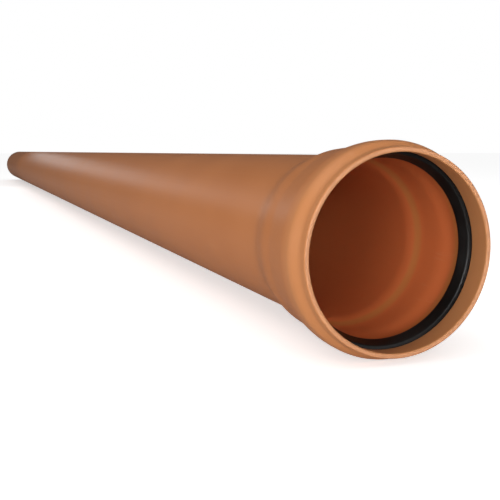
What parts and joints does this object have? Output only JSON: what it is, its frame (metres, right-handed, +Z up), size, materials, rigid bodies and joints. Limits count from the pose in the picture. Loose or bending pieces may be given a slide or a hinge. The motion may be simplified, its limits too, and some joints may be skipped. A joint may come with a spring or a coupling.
{
  "type": "plastic drainage pipe",
  "caption": "Straight round drainage pipe with a push-fit bell socket, a rubber lip seal ring in the socket groove and a chamfered spigot end.",
  "frame": {"origin": "on the level the pipe lies on, under the middle of its length", "axes": "+X along the pipe's axis towards the socket's mouth, +Z up"},
  "size_m": [3.066, 0.1279, 0.1279],
  "materials": {
    "orange_brown_pvc": "satin, orange-brown all through",
    "black_rubber": "moulded, satin black"
  },
  "bodies": {
    "root": {"pipe": "orange_brown_pvc", "seal_ring": "black_rubber"}
  },
  "joints": []
}
